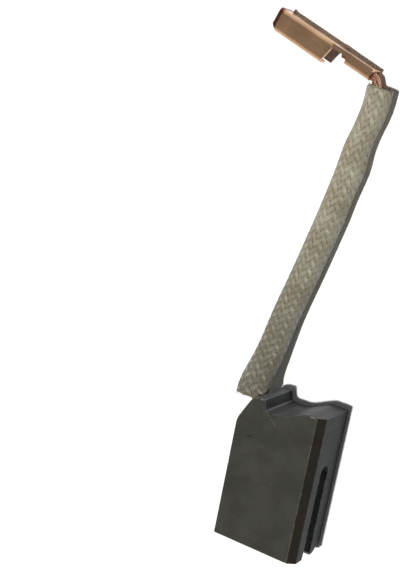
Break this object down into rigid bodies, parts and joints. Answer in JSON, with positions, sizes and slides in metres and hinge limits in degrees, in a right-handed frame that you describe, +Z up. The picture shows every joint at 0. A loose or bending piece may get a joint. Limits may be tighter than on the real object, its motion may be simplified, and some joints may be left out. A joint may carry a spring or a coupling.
{
  "type": "carbon brush",
  "caption": "Rectangular electrographite motor brush with side grooves, a sleeved copper lead and a folded push-on tab receptacle.",
  "frame": {"origin": "under the middle of the carbon block, on the surface that its larger ground face lies on", "axes": "+Z up from that surface, -Y along the block towards the contact face, -X towards the side that the lead leaves from"},
  "size_m": [0.0211, 0.0719, 0.008],
  "materials": {
    "carbon": "ground electrographite, matt to satin",
    "copper_powder": "tamped copper powder, dull",
    "copper_strands": "bare annealed copper, bright",
    "glass_braid": "braided glass fibre, lightly varnished",
    "terminal_sheet": "rolled bronze sheet, slightly tarnished"
  },
  "bodies": {
    "root": {"carbon_block": "carbon", "tamping_plug": "copper_powder", "shunt_wire": "copper_strands", "insulating_sleeve": "glass_braid", "terminal": "terminal_sheet"}
  },
  "joints": []
}
